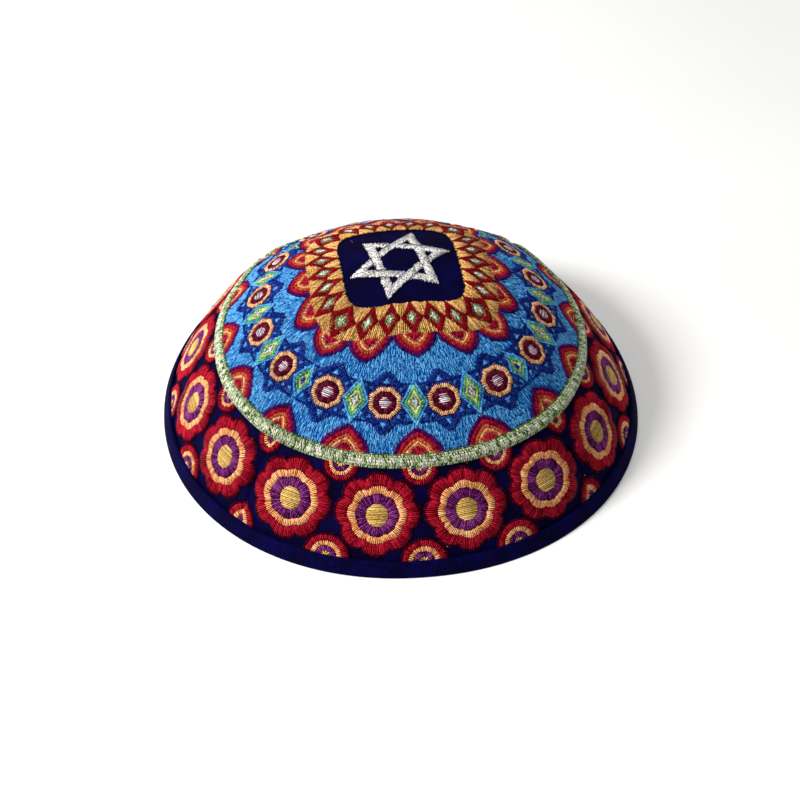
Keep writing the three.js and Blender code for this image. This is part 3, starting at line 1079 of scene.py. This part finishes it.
def ring_mesh(name, section, turns, capped=False):
    """Sweeps a section of (arc, lift) pairs round the cap and drapes it.

    The section closes on itself, unless it is capped: then it runs from the crown's centre back to it.
    """
    section = np.asarray(section, float)
    rows, columns = len(section), len(turns)
    lifts = np.broadcast_to(section[:, 1], (columns, rows))
    flat = polar(section[:, 0], turns[:, None], lifts)
    column, row = np.meshgrid(np.arange(columns), np.arange(rows - capped), indexing="ij")
    after = (column + 1) % columns
    below = (row + 1) % rows
    corners = [column * rows + row, after * rows + row, after * rows + below, column * rows + below]
    face_groups = [np.stack(corners, -1).reshape(-1, 4)]
    flat = flat.reshape(-1, 3)
    if capped:
        flat = np.concatenate([flat, [[0, 0, section[0, 1]], [0, 0, section[-1, 1]]]])
        here = np.arange(columns) * rows
        beside = np.roll(here, -1)
        top = np.full(columns, columns * rows)
        face_groups.append(np.stack([top, beside, here], -1))
        face_groups.append(np.stack([top + 1, here + rows - 1, beside + rows - 1], -1))
    return new_mesh(name, drape(flat)[0], face_groups, {"place": flat})


def columns_near_darts(count):
    """Angles round the cap that crowd together at the darts, with one on each dart."""
    share = np.linspace(-1, 1, count // 4, endpoint=False)
    offsets = np.sign(share) * np.abs(share) ** 1.6 * math.pi / 4
    return np.concatenate([offsets + (quarter + 0.5) * math.pi / 2 for quarter in range(4)])


def crown_cloth(material):
    """The cap's cloth, with its plain inside."""
    outside = np.stack([np.linspace(CROWN_FIRST_ROW, hem_arc, CROWN_ROWS), np.zeros(CROWN_ROWS)], -1)
    inside_arcs = np.linspace(hem_arc, CROWN_FIRST_ROW, INSIDE_ROWS)
    inside = np.stack([inside_arcs, np.full(INSIDE_ROWS, -CLOTH_WALL)], -1)
    section = np.concatenate([outside, inside])
    obj = ring_mesh("crown_cloth", section, columns_near_darts(CROWN_COLUMNS), capped=True)
    add_piece(obj, material, ["crown"])


def binding(material):
    """Strip folded over the hem: a soft rolled top edge outside and in, and a level foot."""
    near = CLEARANCE
    far = near + BINDING_THICKNESS
    deep = -(CLOTH_WALL + CLEARANCE)
    deepest = deep - BINDING_THICKNESS
    floor_arc = hem_arc + CLEARANCE
    roll = BINDING_THICKNESS / 2
    turn = np.linspace(0, math.pi, 9)
    foot_out = arc_at_height(FOOT_HEIGHT, far)
    foot_in = arc_at_height(FOOT_HEIGHT, deepest)
    fold = binding_top_arc + roll
    down = np.linspace(foot_out - 0.5, fold, FACE_ROWS)
    face = [(s, far + FACE_SWELL * math.sin(math.pi * (s - binding_top_arc) / BINDING_WIDTH)) for s in down]
    top = [(fold - roll * math.sin(t), (near + far) / 2 + roll * math.cos(t)) for t in turn]
    inset = floor_arc - 0.1
    under = [(inset, near), (floor_arc, near - 0.1), (floor_arc, deep + 0.1), (inset, deep)]
    inner_top = [(fold - roll * math.sin(t), (deep + deepest) / 2 + roll * math.cos(t)) for t in turn]
    inner_face = [(s, deepest) for s in np.linspace(fold, foot_in - 0.4, 8)]
    foot = [(foot_in - 0.1, deepest + 0.15)]
    for lift in np.linspace(deepest + 0.4, far - 0.4, 4):
        foot.append((arc_at_height(FOOT_HEIGHT, lift), lift))
    foot.append((foot_out - 0.12, far - 0.1))
    section = face + top + under + inner_top + inner_face + foot
    turns = np.linspace(0, TURN, BINDING_COLUMNS, endpoint=False)
    obj = ring_mesh("hem_binding_cloth", section, turns)
    add_piece(obj, material, ["hem_binding"])


def braid_core(material):
    """Padded core that the braid's threads lie on."""
    turn = np.linspace(0, math.pi, 15)
    half = BRAID_WIDTH / 2 - BRAID_CORE_INSET
    top = [(braid_arc + half * math.cos(t), BRAID_BASE + BRAID_CORE_HEIGHT * math.sin(t)) for t in turn]
    obj = ring_mesh("braid_core", top[::-1], columns_near_darts(400))
    add_piece(obj, material)


# Scene

CAMERA_ELEVATION, CAMERA_AZIMUTH = math.radians(41.1), math.radians(-5.5)
CAMERA_DISTANCE = 600
TARGET_HEIGHT = 30
IMAGE_SIZE = 800  # in pixels, as the focal length and the shifts are
FOCAL_LENGTH = 1612.8
SHIFT_X, SHIFT_Y = -0.4, -61.1
SENSOR_WIDTH = 36


def camera():
    """Camera that was fitted to the outline in the photo."""
    level = math.cos(CAMERA_ELEVATION)
    x, y = math.sin(CAMERA_AZIMUTH) * level, -math.cos(CAMERA_AZIMUTH) * level
    back = Vector((x, y, math.sin(CAMERA_ELEVATION)))
    place = Vector((0, 0, TARGET_HEIGHT * MM)) + back * (CAMERA_DISTANCE * MM)
    data = bpy.data.cameras.new("camera")
    data.sensor_width = SENSOR_WIDTH
    data.lens = SENSOR_WIDTH * FOCAL_LENGTH / IMAGE_SIZE
    data.shift_x = SHIFT_X / IMAGE_SIZE
    data.shift_y = SHIFT_Y / IMAGE_SIZE
    data.clip_start = 0.01
    obj = bpy.data.objects.new("camera", data)
    turn = back.to_track_quat("Z", "Y").to_matrix().to_4x4()
    obj.matrix_world = Matrix.Translation(place) @ turn
    bpy.context.scene.collection.objects.link(obj)
    bpy.context.scene.camera = obj


def area_light(name, place, size, power, colour=(1, 1, 1)):
    """Round soft light that faces the cap."""
    data = bpy.data.lights.new(name, "AREA")
    data.shape = "DISK"
    data.size = size
    data.energy = power
    data.color = colour
    obj = bpy.data.objects.new(name, data)
    obj.location = place
    obj.rotation_euler = (-Vector(place)).to_track_quat("-Z", "Y").to_euler()
    bpy.context.scene.collection.objects.link(obj)


FLOOR_HALF_SIZE = 3000
SKY_STRENGTH = 0.31


def studio():
    """Plain pale floor and soft light from the upper left."""
    points = np.array([(-1, -1, 0), (1, -1, 0), (1, 1, 0), (-1, 1, 0)]) * FLOOR_HALF_SIZE
    floor = new_mesh("floor", points, [[(0, 1, 2, 3)]])
    floor.data.materials.append(floor_material())
    area_light("key", (-0.82, -0.22, 0.74), 0.35, 14.0, (1, 0.985, 0.96))
    area_light("fill", (0.8, -0.7, 0.7), 0.7, 0.5, (0.96, 0.98, 1))
    area_light("top", (-0.22, 0.46, 1.2), 0.8, 6.0)
    world = bpy.data.worlds.new("studio")
    world.use_nodes = True
    sky = world.node_tree.nodes["Background"].inputs
    sky["Color"].default_value = (1, 1, 1, 1)
    sky["Strength"].default_value = SKY_STRENGTH
    bpy.context.scene.world = world
    bpy.context.scene.view_settings.view_transform = "Standard"


camera()
studio()

crown_cloth(crown_material())
binding(cloth_shader("navy_binding", "01000c", "030126", "0a0552", 1.8, math.radians(45)).material)

rosettes()
half_rounds()
blue_ground()
trellis()
green_lozenges()
braid_fans()
# The braid's painted shadow
painted_braid_shadow()
border_petals()
lozenge_border()
star()
braid_stitches()
loose_fibres()

for colour, shades in THREADS.items():
    # How much painted shade each thread gets at its sides and tips
    edge = SOFT_PAINTED_SIDE_SHADE if colour in SOFT_THREADS else PAINTED_SIDE_SHADE
    material = thread_material("thread_" + colour, *shades, edge=edge)
    stitch_piece("embroidery_" + colour, colour, material)

border_gold = thread_material("thread_border_gold", "5c4a10", "c88e42", "fcd090", speckle=1.9)
stitch_piece("lozenge_border_gold", "border_gold", border_gold, ["lozenge_border"])
# The silver's last number is the painted shade at the sides and tips of its threads
silver = thread_material("thread_silver", "4c4846", "928e8d", "f6f4f2", 0.34, 0.25, 2.6, 0.8)
stitch_piece("star_emblem_silver", "star", silver, ["star_emblem"])

moss = thread_material("thread_braid_moss", "142a10", "33521f", "668648")
sage = thread_material("thread_braid_sage", "4e6e3c", "95a976", "ccd8ae", speckle=1.0)
braid_silver = thread_material("thread_braid_silver", "94947c", "d6d6c2", "fffdf4", 0.34, 0.15, 0.9)
braid_core(cloth_shader("braid_padding", "20380f", "3a5a24", "567838").material)
stitch_piece("braid_ring_sage", "braid_sage", sage, ["braid_ring"])
stitch_piece("braid_ring_moss", "braid_moss", moss)
stitch_piece("braid_ring_silver", "braid_silver", braid_silver)
